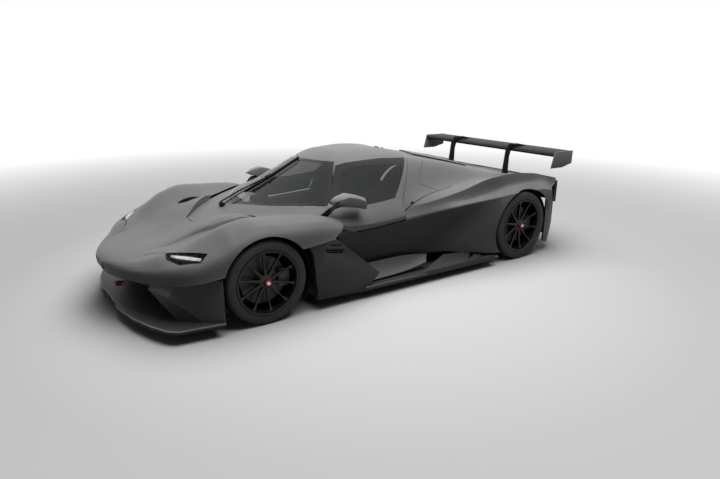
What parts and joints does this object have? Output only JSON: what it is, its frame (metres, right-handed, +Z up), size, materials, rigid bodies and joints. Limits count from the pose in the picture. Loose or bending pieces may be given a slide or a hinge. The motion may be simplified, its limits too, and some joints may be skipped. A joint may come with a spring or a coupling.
{
  "type": "supercar",
  "caption": "Low mid-engined track supercar with a lifting canopy, steered front wheels, side blades and a full-width swan-neck rear wing.",
  "frame": {"origin": "on the ground under the middle of the bounding box", "axes": "+X to the nose, +Y to the car's left, +Z up"},
  "size_m": [4.626, 2.036, 1.154],
  "materials": {
    "body_satin_black": "satin clear coat over dark grey",
    "gloss_black": "gloss",
    "satin_grey": "satin",
    "carbon": "satin woven",
    "mesh_black": "matt",
    "strap_red": "woven",
    "lamp_lens": "clear lens",
    "lamp_red": "gloss",
    "glass_tinted": "tinted",
    "exhaust_metal": "heat tinted",
    "cast_grey": "cast",
    "seat_fabric": "woven",
    "cabin_trim": "matt",
    "steel_black": "satin",
    "rim_black": "satin",
    "tyre_rubber": "matt",
    "disc_steel": "ground",
    "caliper_grey": "satin"
  },
  "bodies": {
    "chassis": {"tub": "carbon", "floor": "carbon", "splitter": "carbon", "diffuser": "carbon", "front_clam": "body_satin_black", "front_corners": "body_satin_black", "front_grille": "mesh_black", "tow_strap": "strap_red", "headlamps": "lamp_lens", "side_blades": "body_satin_black", "flanks": "body_satin_black", "rear_clam": "body_satin_black", "engine_cover": "body_satin_black", "rear_bumper": "body_satin_black", "tail_mesh": "mesh_black", "tail_lamps": "lamp_red", "exhausts": "exhaust_metal", "wing_plane": "gloss_black", "wing_endplates": "satin_grey", "wing_struts": "gloss_black", "air_scoop": "body_satin_black", "sill_struts": "carbon", "engine": "cast_grey", "seats": "seat_fabric", "steering_wheel": "cabin_trim", "dashboard": "cabin_trim", "roll_hoop": "steel_black", "hinge_ears": "steel_black", "body_brackets": "steel_black", "front_wishbones": "steel_black", "rear_wishbones": "steel_black", "rear_uprights": "cast_grey", "rear_calipers": "caliper_grey"},
    "canopy": {"canopy_shell": "body_satin_black", "windscreen": "glass_tinted", "side_windows": "glass_tinted", "canopy_arms": "steel_black", "mirror_arms": "gloss_black", "mirror_heads": "satin_grey", "wiper": "gloss_black"},
    "knuckle_left": {"knuckle_left": "cast_grey", "caliper_front_left": "caliper_grey"},
    "knuckle_right": {"knuckle_right": "cast_grey", "caliper_front_right": "caliper_grey"},
    "wheel_front_left": {"rim_front_left": "rim_black", "tyre_front_left": "tyre_rubber", "disc_front_left": "disc_steel"},
    "wheel_front_right": {"rim_front_right": "rim_black", "tyre_front_right": "tyre_rubber", "disc_front_right": "disc_steel"},
    "wheel_rear_left": {"rim_rear_left": "rim_black", "tyre_rear_left": "tyre_rubber", "disc_rear_left": "disc_steel", "half_shaft_left": "steel_black"},
    "wheel_rear_right": {"rim_rear_right": "rim_black", "tyre_rear_right": "tyre_rubber", "disc_rear_right": "disc_steel", "half_shaft_right": "steel_black"}
  },
  "joints": [
    {"name": "canopy_hinge", "type": "hinge", "parent": "chassis", "child": "canopy", "pos_m": [1.714, 0, 0.552], "axis": [0, 1, 0], "range_deg": [0, 40]},
    {"name": "steer_left", "type": "hinge", "parent": "chassis", "child": "knuckle_left", "pos_m": [1.338, 0.8, 0.33], "axis": [0, 0, 1], "range_deg": [-25, 25]},
    {"name": "steer_right", "type": "hinge", "parent": "chassis", "child": "knuckle_right", "pos_m": [1.338, -0.8, 0.33], "axis": [0, 0, 1], "range_deg": [-25, 25]},
    {"name": "spin_front_left", "type": "hinge", "parent": "knuckle_left", "child": "wheel_front_left", "pos_m": [1.338, 0.857, 0.33], "axis": [0, 1, 0], "continuous": true},
    {"name": "spin_front_right", "type": "hinge", "parent": "knuckle_right", "child": "wheel_front_right", "pos_m": [1.338, -0.857, 0.33], "axis": [0, 1, 0], "continuous": true},
    {"name": "spin_rear_left", "type": "hinge", "parent": "chassis", "child": "wheel_rear_left", "pos_m": [-1.512, 0.838, 0.348], "axis": [0, 1, 0], "continuous": true},
    {"name": "spin_rear_right", "type": "hinge", "parent": "chassis", "child": "wheel_rear_right", "pos_m": [-1.512, -0.838, 0.348], "axis": [0, 1, 0], "continuous": true}
  ],
  "couplings": [
    {"joint": "steer_right", "follows": "steer_left", "ratio": 1}
  ]
}
